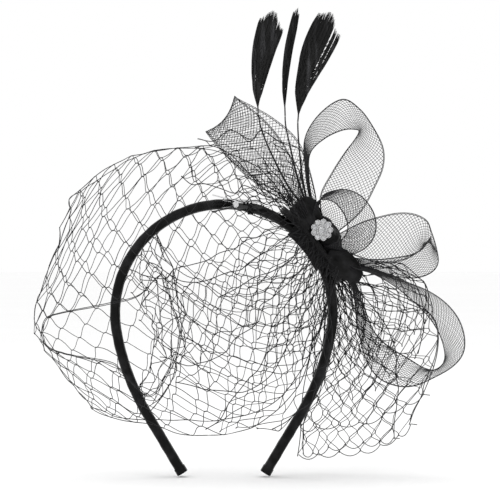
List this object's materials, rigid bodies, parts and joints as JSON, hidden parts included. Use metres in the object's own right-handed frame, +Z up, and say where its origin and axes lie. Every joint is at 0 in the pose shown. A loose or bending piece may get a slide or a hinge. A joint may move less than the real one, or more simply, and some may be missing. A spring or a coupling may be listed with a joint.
{
  "type": "fascinator headpiece",
  "caption": "Black fascinator on a satin headband, with a bubble of veil netting, crin loops, trimmed feathers, a stone brooch and a sprung clip.",
  "frame": {"origin": "centre of the headband's arc, where the middle of the wearer's head sits", "axes": "+X towards the trimmed side, +Y to the back, away from the brooch's face, +Z up to the feathers' tips"},
  "size_m": [0.2643, 0.094, 0.2888],
  "materials": {
    "satin": "satin",
    "felt": "matte",
    "buckram": "matte",
    "band_plastic": "matte",
    "foam": "matte",
    "thread": "matte",
    "crin": "glossy",
    "netting": "matte",
    "feather": "glossy",
    "clip_steel": "satin",
    "spring_steel": "satin",
    "silver_setting": "polished",
    "stone": "polished"
  },
  "bodies": {
    "headpiece": {"headband_core": "band_plastic", "headband_padding": "foam", "headband_cover": "satin", "tip_fold_left": "satin", "tip_fold_right": "satin", "base_buckram": "buckram", "base_satin": "satin", "base_felt": "felt", "band_saddle": "felt", "saddle_stitches": "thread", "satin_knot": "satin", "satin_leaf_upper": "satin", "satin_leaf_lower": "satin", "clip_lower_jaw": "clip_steel", "clip_pin": "clip_steel", "clip_spring": "spring_steel", "clip_strap": "satin", "brooch_plate": "silver_setting", "brooch_cups": "silver_setting", "brooch_centre_stone": "stone", "brooch_petal_stones": "stone", "brooch_shank": "silver_setting", "crin_loop_a": "crin", "crin_loop_b": "crin", "crin_loop_c": "crin", "crin_loop_d": "crin", "crin_loop_e": "crin", "crin_stitches": "thread", "quill_1": "feather", "quill_2": "feather", "quill_3": "feather", "vane_1": "feather", "vane_2": "feather", "vane_3": "feather", "feather_binding": "thread", "veil_main": "netting", "veil_tail": "netting", "veil_stitches": "thread"},
    "clip_jaw": {"clip_upper_jaw": "clip_steel"}
  },
  "joints": [
    {"name": "clip_hinge", "type": "hinge", "parent": "headpiece", "child": "clip_jaw", "pos_m": [0.0072, -0.0089, 0.0664], "axis": [0, -1, 0], "range_deg": [0, 24], "stiffness_Nm_per_rad": 0.06, "springref_deg": -28.65, "deforming": ["clip_spring"]}
  ]
}
